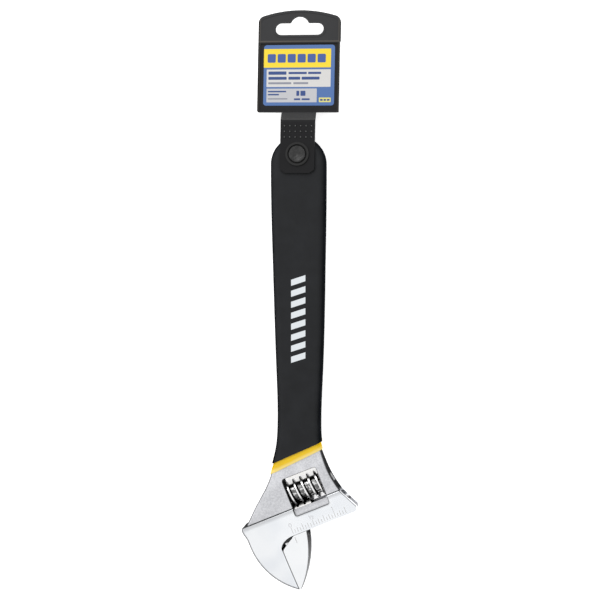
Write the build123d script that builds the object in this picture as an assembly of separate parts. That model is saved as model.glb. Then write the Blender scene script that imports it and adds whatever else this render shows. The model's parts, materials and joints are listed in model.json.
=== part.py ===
"""Adjustable wrench with a dipped two-colour grip and a retail hang tag, in millimetres.

Wrench frame: the wrench lies on its back, +Z up, +Y along the handle away from the jaws. The origin is the
corner where the fixed jaw's gripping face meets the rail's lower edge, at mid thickness.
Head frame: turned by HEAD_ANGLE about Z from the wrench frame. Its x is the way the movable jaw travels and
its y points back to the handle, so the jaws are at negative y.
Tag frame: origin on the hang hole's axis, y towards the top of the tag, turned by TAG_LEAN.
At the end every solid moves so that the origin is the bottom centre of the whole object's box.
"""

from build123d import *
import math
import os

# --- handle -------------------------------------------------------------------------------------
HEAD_ANGLE = 22.5  # jaws against the handle
HANDLE_X = 10.4  # centre line
END_Y = 209.7  # centre of the steel's round end
END_R = 13.9
CORE_HALF = 4.4  # half thickness of the steel in the grip
CORE_ROUND = 2.4  # of the steel in the grip
STEEL_ROUND = 1.0  # of the bare steel's long edges
YELLOW_COAT = 0.8
BLACK_COAT = 0.8
HANG_HOLE_Y = 214.4
HANG_HOLE_R = 5.0  # in the steel
YELLOW_END_Y, YELLOW_END_ANGLE = 44.2, 26.7  # each coat ends on a line through the centre line at this y
BLACK_END_Y, BLACK_END_ANGLE = 49.1, 24.4

# steel sides from the head up to the round end, in the wrench frame
LEFT_SIDE = [(-19.8, 4.4), (-16.4, 11.4), (-13.2, 18.2), (-9.8, 24.5), (-7.0, 30.0), (-4.7, 36.2),
             (-2.6, 43.5), (-0.65, 52.0), (0.2, 62.0), (-0.4, 95.0), (-2.4, 155.0)]
RIGHT_SIDE = [(38.9, 22.0), (33.8, 29.0), (31.8, 31.7), (27.3, 39.3), (24.2, 47.0), (21.9, 54.5),
              (21.3, 62.0), (22.3, 95.0), (23.7, 155.0)]

# --- head, in the head frame --------------------------------------------------------------------
FACE_HALF = 7.5  # half thickness of the ground faces
WEB_HALF = 6.4  # half thickness of the forged web round the window
WEB_FLAT_TO = 25.0  # the web thins from here
WEB_THIN_AT = 39.0  # to the steel in the grip
WEB_ROOT_Y = 13.0  # the web runs into the ground block this far
GROUND_EDGE = 14.1  # upper edge of the ground block
OUTER_X = -16.3  # back of the fixed jaw
OUTER_CORNER_R = 1.8
EAR_FROM, EAR_OUT = 5.5, 1.1  # the back swells out from here to its upper corner
OUTER_ARC_R = 40.2
JAW_LENGTH = 29.4
TIP_HALF = 5.2  # half thickness at the jaw tips
TAPER_FROM = -3.0  # the jaws thin from here to the tips
RAIL_END = (48.8, 0.0)
RAIL_END_R = 2.0  # its lower corner
RAIL_TOP_RIGHT = (41.9, GROUND_EDGE)
THROAT = [(9.4, 0.0), (6.4, -0.15), (3.2, -1.2), (1.2, -2.6), (-0.1, -4.7), (0.0, -6.6)]
OUTER_ROUND = 1.3  # edges of the fixed jaw's back and of the ground block's upper side
EDGE_ROUND = 0.6  # rail end

# --- window and adjusting screw, in the head frame ----------------------------------------------
WINDOW_LEFT, WINDOW_RIGHT = 14.2, 34.5
WINDOW_TOP, WINDOW_BOTTOM = 30.6, 12.8
SCOOP_TOP, SCOOP_BOTTOM = 31.2, 9.2  # the walls slope out to these lines on both faces
SCOOP_TOP_HALF, SCOOP_BOTTOM_HALF = 5.6, 5.3  # where the slopes end above mid thickness
SCOOP_BOTTOM_STEP = 0.7  # small wall at the lower slope's outer line
WINDOW_CORNER_R = 1.3
WORM_Y = 21.0
WORM_R = 7.45
WORM_ROOT_R = 5.3
WORM_LEFT, WORM_RIGHT = 15.2, 33.5
WORM_PITCH = 4.2
THREAD_AT = 17.25  # a thread crosses the rack side here
CREST_WIDTH = 0.8
FLANK_ANGLE = 18.0
PIN_R = 2.25
RUNNING_GAP = 0.05
POCKET_R, POCKET_DEPTH = 3.7, 6.0  # for the spring, in the screw's left end
SPRING_R, SPRING_WIRE_R, SPRING_PITCH = 3.0, 0.4, 1.5
PIN_HEAD_R, PIN_HEAD_LEFT, PIN_HEAD_RIGHT = 3.0, 39.4, 40.4
PIN_TIP = 9.2
PIN_SLOT_WIDTH, PIN_SLOT_DEPTH = 0.8, 0.5

# --- rack and movable jaw, in the head frame ----------------------------------------------------
BORE_Y = 10.6
BORE_R = 5.1
BORE_LEFT = -4.2
RACK_R = 4.95
RACK_LEFT, RACK_RIGHT = -3.4, 25.0
RACK_ROOT_Y = 13.2
TOOTH_GAP = 0.22  # side clearance between thread and tooth
SLOT_HALF = 3.1
SLOT_LEFT = 0.6
BLADE_WEB_HALF = 2.95
BLADE_WEB_LEFT = 0.9
JAW_GAP = 0.4  # between the gripping faces when closed
RAIL_GAP = 0.18
BLADE_BACK = 16.9
BLADE_BACK_MID = (11.5, -15.7)
BLADE_BACK_ROUND = 0.7
BLADE_TIP_X = 1.7
HEEL = [(JAW_GAP, -6.6), (0.9, -5.4), (2.3, -4.4), (4.1, -3.3), (6.0, -2.1), (8.0, -0.9), (9.4, -RAIL_GAP)]

# --- engraved scale in sixteenths of an inch, on the front of the rail ----------------------------
SCALE_ZERO = 9.4
SCALE_STEP = 25.4 / 16
SCALE_STEPS = 20
SCALE_BASE_Y = 1.0
TICK_LENGTHS = [(4, 3.6), (2, 2.8), (1, 2.0)]  # every fourth, second and single sixteenth
TICK_WIDTH = 0.28
TICK_DEPTH = 0.12
INDEX_Y = (-4.4, -1.2)  # the index line on the movable jaw

# --- printed bars on the grip, in the wrench frame ------------------------------------------------
PRINT_CENTRE = (10.8, 123.2)
PRINT_WIDTH = 8.0
PRINT_BARS = 8
PRINT_PITCH = 6.1
PRINT_BAR = 3.4
PRINT_SLANT = 2.6
PRINT_THICK = 0.08

# --- hang tag, in the tag frame -------------------------------------------------------------------
TAG_LEAN = -1.1
TAG_X = -0.5  # centre line of the plate
TAG_WIDTH = 46.1
TAG_BOTTOM, TAG_SHOULDER, TAG_TOP = 23.8, 76.4, 80.5
TAG_CORNER_R, TAG_FOOT_R = 3.9, 1.0  # upper and lower corners
TAG_STEP_Y = 63.2  # the label's frame ends here
TAG_STEP_WIDTH = 0.4  # the frame's right side steps in
TAG_THICK = 1.7
TAG_RECESS = 0.45  # label field in its frame
TAG_UPPER_RECESS = 0.2  # upper field in its rim
TAG_RIM_WIDTH = 1.3
TAG_PLATE_Z = 2.2  # underside of the plate above mid thickness
STRAP_HALF = 9.65
STRAP_THICK = 1.3
STRAP_LOW = -10.5
STRAP_CUT = (2.9, 2.0)  # corners cut off its lower end
STRAP_BEND_Y = 18.6  # the strap leaves its high level here
STRAP_LIFT = 0.1  # above the grip
SLOT_Y = 70.15  # hanger slot
SLOT_LENGTH, SLOT_HEIGHT = 26.9, 6.8
SLOT_HUMP_R, SLOT_HUMP_Y = 5.2, 71.9
SLOT_HUMP_BLEND = 0.8
PIP_R, PIP_HEIGHT = 0.66, 0.5
PIP_COLUMNS, PIP_ROWS = 6, 3
PIP_X, PIP_PITCH_X, PIP_PITCH_Y, PIP_FIRST_Y = 0.2, 3.0, 3.1, 9.4
LABEL_SIZE = (39.7, 33.7)
LABEL_CENTRE = (-0.35, 44.35)
LABEL_THICK = 0.2
LABEL_CORNER_R = 1.6

# --- push rivet of the tag ------------------------------------------------------------------------
COLLAR_R, COLLAR_INNER_R, COLLAR_HEIGHT = 6.5, 5.35, 1.1  # ring moulded on the strap
BUTTON_R, BUTTON_HEIGHT, BUTTON_DISH = 4.75, 1.3, 0.7
SHANK_R, SHANK_BORE_R = 3.4, 2.1
HOLE_GAP = 0.6  # between shank and the coated hang hole
CAP_R, CAP_THICK, POST_R, POST_TOP = 6.6, 1.4, 2.05, 4.5

# --- derived --------------------------------------------------------------------------------------
COATED_HALF = CORE_HALF + YELLOW_COAT + BLACK_COAT
STRAP_Z = COATED_HALF + STRAP_LIFT
STRAP_TOP = STRAP_Z + STRAP_THICK
COATED_HOLE_R = SHANK_R + HOLE_GAP
FLANK = math.tan(math.radians(FLANK_ANGLE))
LEAD_ANGLE = math.degrees(math.atan(WORM_PITCH / (math.pi * (WORM_R + WORM_ROOT_R))))
FAR = 400.0  # longer than anything here


def in_head(shape):
    """A shape drawn in the head frame, placed in the wrench frame."""
    return Rot(0, 0, HEAD_ANGLE) * shape


def in_tag(shape):
    """A shape drawn in the tag frame, placed in the wrench frame."""
    return Pos(HANDLE_X, HANG_HOLE_Y, 0) * Rot(0, 0, TAG_LEAN) * shape


def slab(face, low, high):
    """A flat face raised from z = low to z = high."""
    return Pos(0, 0, low) * extrude(face, amount=high - low, dir=(0, 0, 1))


def box_between(x, y, z):
    """A box from three (low, high) pairs."""
    size = [high - low for low, high in (x, y, z)]
    return Pos(sum(x) / 2, sum(y) / 2, sum(z) / 2) * Box(*size)


def upright(radius, low, high, x=0.0, y=0.0):
    """A cylinder along Z."""
    return Pos(x, y, (low + high) / 2) * Cylinder(radius, high - low)


def along_x(radius, left, right, y):
    """A cylinder along X at mid thickness."""
    return Pos((left + right) / 2, y, 0) * Rot(0, 90, 0) * Cylinder(radius, right - left)


def across(outline, half):
    """A face drawn in the Y-Z plane, raised to both sides of it."""
    return Pos(-half, 0, 0) * extrude(Plane.YZ * outline, amount=2 * half)


def both_sides(shape):
    """A shape and its mirror image below mid thickness."""
    return shape + shape.mirror(Plane.XY)


def from_side(edges):
    """A solid with its side view drawn in (y, z): edges above mid thickness, and their mirror."""
    lower = [edge.mirror(Plane.XZ) for edge in edges]
    ends = [edges[0] @ 0, edges[-1] @ 1]
    caps = [Line((p.X, p.Y), (p.X, -p.Y)) for p in ends]
    return across(make_face(list(edges) + lower + caps), FAR / 2)


def only(part):
    """The single solid of a part."""
    solids = part.solids()
    assert len(solids) == 1, len(solids)
    return solids[0]


# --- steel ----------------------------------------------------------------------------------------
def bar_face(coat):
    """Plan of web, neck and handle bar, with a coat of this thickness on the handle's sides."""
    left_side = [(x - coat, y) for x, y in LEFT_SIDE]
    right_side = [(x + coat, y) for x, y in RIGHT_SIDE]
    radius = END_R + coat
    left_end = (HANDLE_X - radius, END_Y)
    right_end = (HANDLE_X + radius, END_Y)
    left = Spline(*left_side, left_end, tangents=[(0.45, 1), (0, 1)])
    right = Spline(*right_side, right_end, tangents=[(-0.6, 1), (0, 1)])
    end = ThreePointArc(left_end, (HANDLE_X, END_Y + radius), right_end)
    return make_face([left, end, right, Line(right_side[0], left_side[0])])


def rounded_bar(bar, radius):
    """A bar with its upper and lower outlines rounded, cut off where it enters the ground block."""

    def runs_along(edge):
        middle = edge @ 0.5
        outside = middle.X < HANDLE_X - 8 or middle.X > HANDLE_X + 8 or middle.Y > END_Y
        return abs(middle.Z) > CORE_HALF - 0.1 and outside and abs((edge % 0.5).Z) < 0.5

    rounded = fillet([edge for edge in bar.edges() if runs_along(edge)], radius)
    return rounded & in_head(box_between((-FAR, FAR), (WEB_ROOT_Y, FAR), (-FAR / 4, FAR / 4)))


def steel_bar():
    """Web, neck and handle bar: the plan cut to its side view, with rounded long edges."""
    thin = Spline((WEB_FLAT_TO, WEB_HALF), (WEB_THIN_AT, CORE_HALF), tangents=[(1, 0), (1, 0)])
    flat = Line((-FAR, WEB_HALF), (WEB_FLAT_TO, WEB_HALF))
    core = Line((WEB_THIN_AT, CORE_HALF), (FAR, CORE_HALF))
    bar = slab(bar_face(0.0), -WEB_HALF, WEB_HALF) & in_head(from_side([flat, thin, core]))
    return rounded_bar(bar, STEEL_ROUND)


def jaw_thickness():
    """Side view of the jaws: flat ground faces that thin in a long curve to the tips."""
    flat = Line((GROUND_EDGE + 1, FACE_HALF), (TAPER_FROM, FACE_HALF))
    tip = (-JAW_LENGTH, TIP_HALF)
    curve = TangentArc((TAPER_FROM, FACE_HALF), tip, tangent=(-1, 0))
    beyond = Line(tip, (-JAW_LENGTH - 2, TIP_HALF))
    return from_side([flat, curve, beyond])


def ground_face():
    """Plan of the ground block: rail, throat, fixed jaw and its round back."""
    reach = OUTER_ARC_R + OUTER_X
    centre_y = -JAW_LENGTH + math.sqrt(OUTER_ARC_R**2 - reach**2)
    tip_angle = math.atan2(-JAW_LENGTH - centre_y, -reach)
    middle = (tip_angle - math.pi) / 2
    arc_middle = (reach + OUTER_ARC_R * math.cos(middle), centre_y + OUTER_ARC_R * math.sin(middle))
    corner = OUTER_CORNER_R
    ear = OUTER_X - EAR_OUT
    cut = corner * (1 - math.sqrt(0.5))
    return make_face([
        Spline(*THROAT, tangents=[(-1, 0), (0.0, -1)]),
        Line(THROAT[-1], (0, -JAW_LENGTH)),
        ThreePointArc((0, -JAW_LENGTH), arc_middle, (OUTER_X, centre_y)),
        Line((OUTER_X, centre_y), (OUTER_X, EAR_FROM)),
        Spline((OUTER_X, EAR_FROM), (ear, GROUND_EDGE - corner), tangents=[(0, 1), (0, 1)]),
        ThreePointArc((ear, GROUND_EDGE - corner), (ear + cut, GROUND_EDGE - cut),
                      (ear + corner, GROUND_EDGE)),
        Line((ear + corner, GROUND_EDGE), RAIL_TOP_RIGHT),
        Line(RAIL_TOP_RIGHT, RAIL_END),
        Line(RAIL_END, THROAT[0]),
    ])


def rail_corner():
    """Cutter that rounds the rail's lower corner, in the head frame."""
    up = (Vector(*RAIL_TOP_RIGHT) - Vector(*RAIL_END)).normalized()
    half_angle = math.atan2(up.Y, -up.X) / 2
    reach = RAIL_END_R / math.tan(half_angle)
    corner = Vector(*RAIL_END)
    inward = Vector(-math.cos(half_angle), math.sin(half_angle))
    nearest = corner + inward * (RAIL_END_R / math.sin(half_angle) - RAIL_END_R)
    outside = corner - inward
    lower, upper = corner - Vector(reach, 0), corner + up * reach
    face = make_face([ThreePointArc(lower, nearest, upper), Line(upper, outside), Line(outside, lower)])
    return slab(face, -FAR / 4, FAR / 4)


def ground_block():
    """Rail and fixed jaw with rounded outer edges, in the head frame."""
    block = slab(ground_face(), -FACE_HALF, FACE_HALF) & jaw_thickness()

    def outer_edges(low_x, high_x):
        level = [e for e in block.edges() if abs((e @ 0.5).Z) > TIP_HALF - 0.1 and abs((e % 0.5).Z) < 0.5]
        outer = [e for e in level if (e @ 0.5).Y > 0.1 or (e @ 0.5).X < -0.6]
        return [e for e in outer if low_x < (e @ 0.5).X < high_x]

    block = fillet(outer_edges(-FAR, RAIL_TOP_RIGHT[0]), OUTER_ROUND)
    return fillet(outer_edges(RAIL_TOP_RIGHT[0], FAR), EDGE_ROUND) - rail_corner()


def window():
    """The screw's opening with the sloping scoops above and below, in the head frame."""
    middle_x = (WINDOW_LEFT + WINDOW_RIGHT) / 2
    width = WINDOW_RIGHT - WINDOW_LEFT

    def rounded(bottom, top):
        plan = RectangleRounded(width, top - bottom, WINDOW_CORNER_R)
        return slab(Pos(middle_x, (bottom + top) / 2) * plan, -FAR / 4, FAR / 4)

    high = FACE_HALF + 1
    step = FACE_HALF - SCOOP_BOTTOM_STEP
    slopes = [Line((SCOOP_BOTTOM, high), (SCOOP_BOTTOM, step)),
              Line((SCOOP_BOTTOM, step), (WINDOW_BOTTOM, SCOOP_BOTTOM_HALF)),
              Line((WINDOW_BOTTOM, SCOOP_BOTTOM_HALF), (WINDOW_TOP, SCOOP_TOP_HALF)),
              Line((WINDOW_TOP, SCOOP_TOP_HALF), (SCOOP_TOP, WEB_HALF)),
              Line((SCOOP_TOP, WEB_HALF), (SCOOP_TOP, high)),
              Line((SCOOP_TOP, high), (SCOOP_BOTTOM, high))]
    scoop = across(make_face(slopes), FAR / 2)
    return rounded(WINDOW_BOTTOM, WINDOW_TOP) + (rounded(SCOOP_BOTTOM, SCOOP_TOP) & both_sides(scoop))


def scale_ticks():
    """The engraved scale's cutters on the front of the rail, in the head frame."""
    cutters = []
    for step in range(SCALE_STEPS + 1):
        length = next(length for every, length in TICK_LENGTHS if step % every == 0)
        x = SCALE_ZERO + step * SCALE_STEP
        cutters.append(box_between((x - TICK_WIDTH / 2, x + TICK_WIDTH / 2),
                                   (SCALE_BASE_Y, SCALE_BASE_Y + length),
                                   (FACE_HALF - TICK_DEPTH, FACE_HALF + 1)))
    return cutters


def wrench_body():
    """Forging: handle bar, web, rail and fixed jaw, bored and slotted for the movable jaw."""
    body = steel_bar() + in_head(ground_block())
    cuts = [window(),
            along_x(BORE_R, BORE_LEFT, FAR / 4, BORE_Y),
            box_between((SLOT_LEFT, FAR / 4), (-10, BORE_Y), (-SLOT_HALF, SLOT_HALF)),
            along_x(PIN_R, PIN_TIP, PIN_HEAD_LEFT, WORM_Y),
            along_x(PIN_HEAD_R, PIN_HEAD_LEFT, FAR / 4, WORM_Y)]
    for cut in cuts + scale_ticks():
        body -= in_head(cut)
    return body - upright(HANG_HOLE_R, -FAR / 4, FAR / 4, HANDLE_X, HANG_HOLE_Y)


# --- movable jaw ----------------------------------------------------------------------------------
def blade_face():
    """Plan of the movable jaw's blade."""
    tip = (JAW_GAP, -JAW_LENGTH + 0.2)
    tip_back = (BLADE_TIP_X, -JAW_LENGTH + 0.2)
    back_top = (BLADE_BACK, -RAIL_GAP)
    return make_face([
        Line(tip, HEEL[0]),
        Spline(*HEEL, tangents=[(0, 1), (1, 0.35)]),
        Line(HEEL[-1], back_top),
        ThreePointArc(back_top, BLADE_BACK_MID, tip_back),
        Line(tip_back, tip),
    ])


def blade():
    """The movable jaw's blade with its back edges rounded, in the head frame."""
    shape = slab(blade_face(), -FACE_HALF, FACE_HALF) & jaw_thickness()

    def is_back(edge):
        middle = edge @ 0.5
        level = abs((edge % 0.5).Z) < 0.5 and abs(middle.Z) > TIP_HALF - 0.1
        return level and middle.X > BLADE_TIP_X and middle.Y < -RAIL_GAP - 6

    return fillet([edge for edge in shape.edges() if is_back(edge)], BLADE_BACK_ROUND)


def thread_half_width(radius):
    """Half the axial width of the screw's thread at a radius."""
    return CREST_WIDTH / 2 + (WORM_R - radius) * FLANK


def rack_cutters():
    """Grooves of the rack, tilted by the screw's lead, in the head frame."""
    top = BORE_Y + RACK_R + 1
    low_half = thread_half_width(WORM_Y - RACK_ROOT_Y) + TOOTH_GAP
    top_half = thread_half_width(WORM_Y - top) + TOOTH_GAP
    cutters = []
    first = math.floor((RACK_LEFT - THREAD_AT) / WORM_PITCH)
    last = math.ceil((RACK_RIGHT - THREAD_AT) / WORM_PITCH)
    for step in range(first, last + 1):
        groove = make_face(Polyline((-low_half, RACK_ROOT_Y), (low_half, RACK_ROOT_Y), (top_half, top),
                                    (-top_half, top), close=True))
        cutter = slab(groove, -RACK_R - 2, RACK_R + 2)
        cutters.append(Pos(THREAD_AT + step * WORM_PITCH, 0, 0) * Rot(0, -LEAD_ANGLE, 0) * cutter)
    return cutters


def movable_jaw():
    """Blade, the flat neck through the slot and the round rack that the screw drives."""
    rack = along_x(RACK_R, RACK_LEFT, RACK_RIGHT, BORE_Y)
    rack = chamfer(rack.edges().filter_by(GeomType.CIRCLE), 0.4)
    for cutter in rack_cutters():
        rack -= cutter
    neck = box_between((BLADE_WEB_LEFT, BLADE_BACK - 0.2), (-RAIL_GAP - 3, BORE_Y),
                       (-BLADE_WEB_HALF, BLADE_WEB_HALF))
    index = box_between((SCALE_ZERO - TICK_WIDTH / 2, SCALE_ZERO + TICK_WIDTH / 2), INDEX_Y,
                        (FACE_HALF - TICK_DEPTH, FACE_HALF + 1))
    return in_head(blade() + neck + rack - index)


# --- adjusting screw ------------------------------------------------------------------------------
def screw_plane(x):
    """Plane across the screw's axis, its x direction towards the rack."""
    return Plane(origin=(x, WORM_Y, 0), x_dir=(0, -1, 0), z_dir=(1, 0, 0))


def thread(turns):
    """A right-handed thread along Z, starting at the origin."""
    inside = WORM_ROOT_R - 0.3
    outside = WORM_R + 0.2
    inner, outer = thread_half_width(inside), thread_half_width(outside)
    path = Helix(WORM_PITCH, turns * WORM_PITCH, inside)
    section = Plane(origin=path @ 0, x_dir=(1, 0, 0), z_dir=path % 0)
    profile = section * make_face(Polyline((0, -inner), (outside - inside, -outer), (outside - inside, outer),
                                           (0, inner), close=True))
    return sweep(profile, path=path, is_frenet=True)


def worm_screw():
    """The adjusting screw, bored for its pin and its spring."""
    start = THREAD_AT - WORM_PITCH
    turns = math.ceil((WORM_RIGHT - start) / WORM_PITCH) + 1
    low, high = WORM_LEFT - start, WORM_RIGHT - start
    # the cylinders' seams are turned away from the thread's start
    envelope = Rot(0, 0, 20) * upright(WORM_R, low, high)
    core = Rot(0, 0, 60) * upright(WORM_ROOT_R, low, high)
    screw = screw_plane(start) * ((thread(turns) & envelope) + core)
    screw -= along_x(PIN_R + RUNNING_GAP, WORM_LEFT - 1, WORM_RIGHT + 1, WORM_Y)
    screw -= along_x(POCKET_R, WORM_LEFT - 1, WORM_LEFT + POCKET_DEPTH, WORM_Y)
    return in_head(screw)


def worm_pin():
    """The screw's axle, slotted at its head."""
    pin = along_x(PIN_R, PIN_TIP, PIN_HEAD_LEFT, WORM_Y)
    pin += along_x(PIN_HEAD_R, PIN_HEAD_LEFT, PIN_HEAD_RIGHT, WORM_Y)
    slot = box_between((PIN_HEAD_RIGHT - PIN_SLOT_DEPTH, PIN_HEAD_RIGHT + 1), (WORM_Y - 5, WORM_Y + 5),
                       (-PIN_SLOT_WIDTH / 2, PIN_SLOT_WIDTH / 2))
    return in_head(pin - slot)


def worm_spring():
    """The short coil spring that keeps the screw from turning by itself."""
    left = WINDOW_LEFT + SPRING_WIRE_R + 0.02
    right = WORM_LEFT + POCKET_DEPTH - SPRING_WIRE_R - 0.3
    path = Helix(SPRING_PITCH, right - left, SPRING_R)
    wire = Plane(origin=path @ 0, z_dir=path % 0) * Circle(SPRING_WIRE_R)
    return in_head(screw_plane(left) * sweep(wire, path=path, is_frenet=True))


# --- grip -----------------------------------------------------------------------------------------
def coated_bar(coat):
    """The handle with a coat over the steel, round edges included."""
    bar = slab(bar_face(coat), -CORE_HALF - coat, CORE_HALF + coat)
    return rounded_bar(bar, CORE_ROUND + coat)


def above_band(end_y, angle):
    """The half space on the handle side of a coat's end line."""
    half = box_between((-FAR, FAR), (0, FAR), (-FAR / 4, FAR / 4))
    return Pos(HANDLE_X, end_y, 0) * Rot(0, 0, angle) * half


def grip_sleeves(body):
    """The yellow first dip and the black second dip, each lining the hang hole."""
    hole_step = (HANG_HOLE_R - COATED_HOLE_R) / 2
    first = coated_bar(YELLOW_COAT)
    first_hole = upright(HANG_HOLE_R - hole_step, -FAR / 4, FAR / 4, HANDLE_X, HANG_HOLE_Y)
    second_hole = upright(COATED_HOLE_R, -FAR / 4, FAR / 4, HANDLE_X, HANG_HOLE_Y)
    yellow = (first & above_band(YELLOW_END_Y, YELLOW_END_ANGLE)) - body - first_hole
    second = coated_bar(YELLOW_COAT + BLACK_COAT) & above_band(BLACK_END_Y, BLACK_END_ANGLE)
    black = second - (first - first_hole) - second_hole
    return yellow, black


def grip_graphic():
    """A row of printed slanted bars on the front of the grip."""
    bars = []
    for step in range(PRINT_BARS):
        low = PRINT_CENTRE[1] + (step - (PRINT_BARS - 1) / 2) * PRINT_PITCH - (PRINT_BAR + PRINT_SLANT) / 2
        left, right = PRINT_CENTRE[0] - PRINT_WIDTH / 2, PRINT_CENTRE[0] + PRINT_WIDTH / 2
        outline = Polyline((left, low), (right, low + PRINT_SLANT), (right, low + PRINT_SLANT + PRINT_BAR),
                           (left, low + PRINT_BAR), close=True)
        bars.append(slab(make_face(outline), COATED_HALF, COATED_HALF + PRINT_THICK).solids()[0])
    return Compound(children=bars)


# --- hang tag -------------------------------------------------------------------------------------
def plate_face(inset=0.0):
    """Plan of the tag's plate, or the same outline drawn in by an inset."""
    half = TAG_WIDTH / 2 - inset
    low, shoulder, top = TAG_BOTTOM + inset, TAG_SHOULDER - inset, TAG_TOP - inset
    face = make_face([
        Polyline((-half, shoulder), (-half, low), (half, low), (half, shoulder)),
        ThreePointArc((half, shoulder), (0, top), (-half, shoulder)),
    ])
    face = fillet(face.vertices().group_by(Axis.Y)[-1], TAG_CORNER_R - inset)
    return Pos(TAG_X, 0) * fillet(face.vertices().group_by(Axis.Y)[0], TAG_FOOT_R)


def hanger_slot(margin=0.0):
    """The slot with a round hump that hangs on a shop's peg, or its outline drawn out by a margin."""
    slot = Pos(0, SLOT_Y) * SlotOverall(SLOT_LENGTH + 2 * margin, SLOT_HEIGHT + 2 * margin)
    face = slot + Pos(0, SLOT_HUMP_Y) * Circle(SLOT_HUMP_R + margin)
    top = SLOT_Y + SLOT_HEIGHT / 2 + margin
    joins = [v for v in face.vertices() if abs(v.Y - top) < 0.01 and abs(v.X) < SLOT_HUMP_R + margin]
    return Pos(TAG_X, 0) * fillet(joins, SLOT_HUMP_BLEND)


def tag_plate():
    """Plate with its hanger slot, a rimmed upper field and the frame round the label's field."""
    top = TAG_PLATE_Z + TAG_THICK
    plate = slab(plate_face(), TAG_PLATE_Z, top)
    right = TAG_X + TAG_WIDTH / 2
    plate -= box_between((right - TAG_STEP_WIDTH, right + 1), (0, TAG_STEP_Y), (0, FAR / 4))
    half = TAG_WIDTH / 2 - TAG_RIM_WIDTH
    field_x = (TAG_X - half, TAG_X + half - TAG_STEP_WIDTH)
    field_y = (TAG_BOTTOM + TAG_RIM_WIDTH, TAG_STEP_Y - TAG_RIM_WIDTH)
    plate -= box_between(field_x, field_y, (top - TAG_RECESS, top + 1))
    above_frame = box_between((-FAR, FAR), (TAG_STEP_Y, FAR), (0, FAR / 4))
    upper = slab(plate_face(TAG_RIM_WIDTH), top - TAG_UPPER_RECESS, top + 1) & above_frame
    plate -= upper - slab(hanger_slot(TAG_RIM_WIDTH), 0, FAR / 4)
    return plate - slab(hanger_slot(), 0, FAR / 4)


def strap():
    """Strap over the grip with its living bend down to the plate, rivet hole, collar and pips."""
    inner = [(-FAR, STRAP_Z), (STRAP_BEND_Y, STRAP_Z), (TAG_BOTTOM, TAG_PLATE_Z),
             (TAG_BOTTOM + 1, TAG_PLATE_Z)]
    outer = [(TAG_BOTTOM + 1, TAG_PLATE_Z + STRAP_THICK), (TAG_BOTTOM, TAG_PLATE_Z + TAG_THICK - 0.1),
             (STRAP_BEND_Y + 0.9, STRAP_TOP), (-FAR, STRAP_TOP)]
    side = across(make_face(Polyline(*inner, *outer, close=True)), STRAP_HALF)
    cut_x, cut_y = STRAP_CUT
    plan = make_face(Polyline((-STRAP_HALF, TAG_BOTTOM + 1), (-STRAP_HALF, STRAP_LOW + cut_y),
                              (-STRAP_HALF + cut_x, STRAP_LOW), (STRAP_HALF - cut_x, STRAP_LOW),
                              (STRAP_HALF, STRAP_LOW + cut_y), (STRAP_HALF, TAG_BOTTOM + 1), close=True))
    shape = side & slab(plan, 0, FAR / 4)
    shape += upright(COLLAR_R, STRAP_TOP, STRAP_TOP + COLLAR_HEIGHT)
    shape -= upright(COLLAR_INNER_R, STRAP_TOP, FAR / 4)
    return shape - upright(SHANK_R, 0, FAR / 4)


def pips():
    """Rows of small domes on the strap above the rivet."""
    ball_r = (PIP_R**2 + PIP_HEIGHT**2) / (2 * PIP_HEIGHT)
    centre_z = STRAP_TOP + PIP_HEIGHT - ball_r
    middle = (PIP_COLUMNS - 1) / 2
    places = [(PIP_X + (column - middle) * PIP_PITCH_X, PIP_FIRST_Y + row * PIP_PITCH_Y)
              for row in range(PIP_ROWS) for column in range(PIP_COLUMNS)]
    return [Pos(x, y, centre_z) * Sphere(ball_r) for x, y in places]


def hang_tag():
    """The moulded tag: plate, bend, strap, rivet collar and pips in one piece."""
    tag = tag_plate() + strap()
    for pip in pips():
        tag += pip
    return in_tag(tag)


def tag_label():
    """The printed label in the tag's framed field."""
    low = TAG_PLATE_Z + TAG_THICK - TAG_RECESS
    plan = Pos(*LABEL_CENTRE) * RectangleRounded(*LABEL_SIZE, LABEL_CORNER_R)
    return in_tag(slab(plan, low, low + LABEL_THICK))


def rivet_stud():
    """Front half of the push rivet: dished button and hollow shank."""
    button = upright(BUTTON_R, STRAP_TOP, STRAP_TOP + BUTTON_HEIGHT)
    button = chamfer(button.edges().group_by(Axis.Z)[-1], 0.35)
    dish_top = STRAP_TOP + BUTTON_HEIGHT
    dish = Pos(0, 0, dish_top - BUTTON_DISH / 2) * Cone(0.4, BUTTON_R - 1.0, BUTTON_DISH)
    shank = upright(SHANK_R, -COATED_HALF - STRAP_LIFT, STRAP_TOP)
    stud = button + shank - dish - upright(SHANK_BORE_R, -FAR / 4, STRAP_TOP - 1.0)
    return in_tag(stud)


def rivet_cap():
    """Rear half of the push rivet: a round cap with a post that fills the shank."""
    seat = -COATED_HALF - STRAP_LIFT
    cap = upright(CAP_R, seat - CAP_THICK, seat)
    cap = chamfer(cap.edges().group_by(Axis.Z)[0], 0.4)
    return in_tag(cap + upright(POST_R, seat, POST_TOP))


def build():
    """Every piece by node name, in the wrench frame."""
    body = wrench_body()
    yellow, black = grip_sleeves(body)
    return {
        "wrench_body": only(body),
        "movable_jaw": only(movable_jaw()),
        "worm_screw": only(worm_screw()),
        "worm_pin": only(worm_pin()),
        "worm_spring": only(worm_spring()),
        "grip_yellow_sleeve": only(yellow),
        "grip_black_sleeve": only(black),
        "grip_graphic": grip_graphic(),
        "hang_tag": only(hang_tag()),
        "tag_label": only(tag_label()),
        "rivet_stud": only(rivet_stud()),
        "rivet_cap": only(rivet_cap()),
    }


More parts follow.
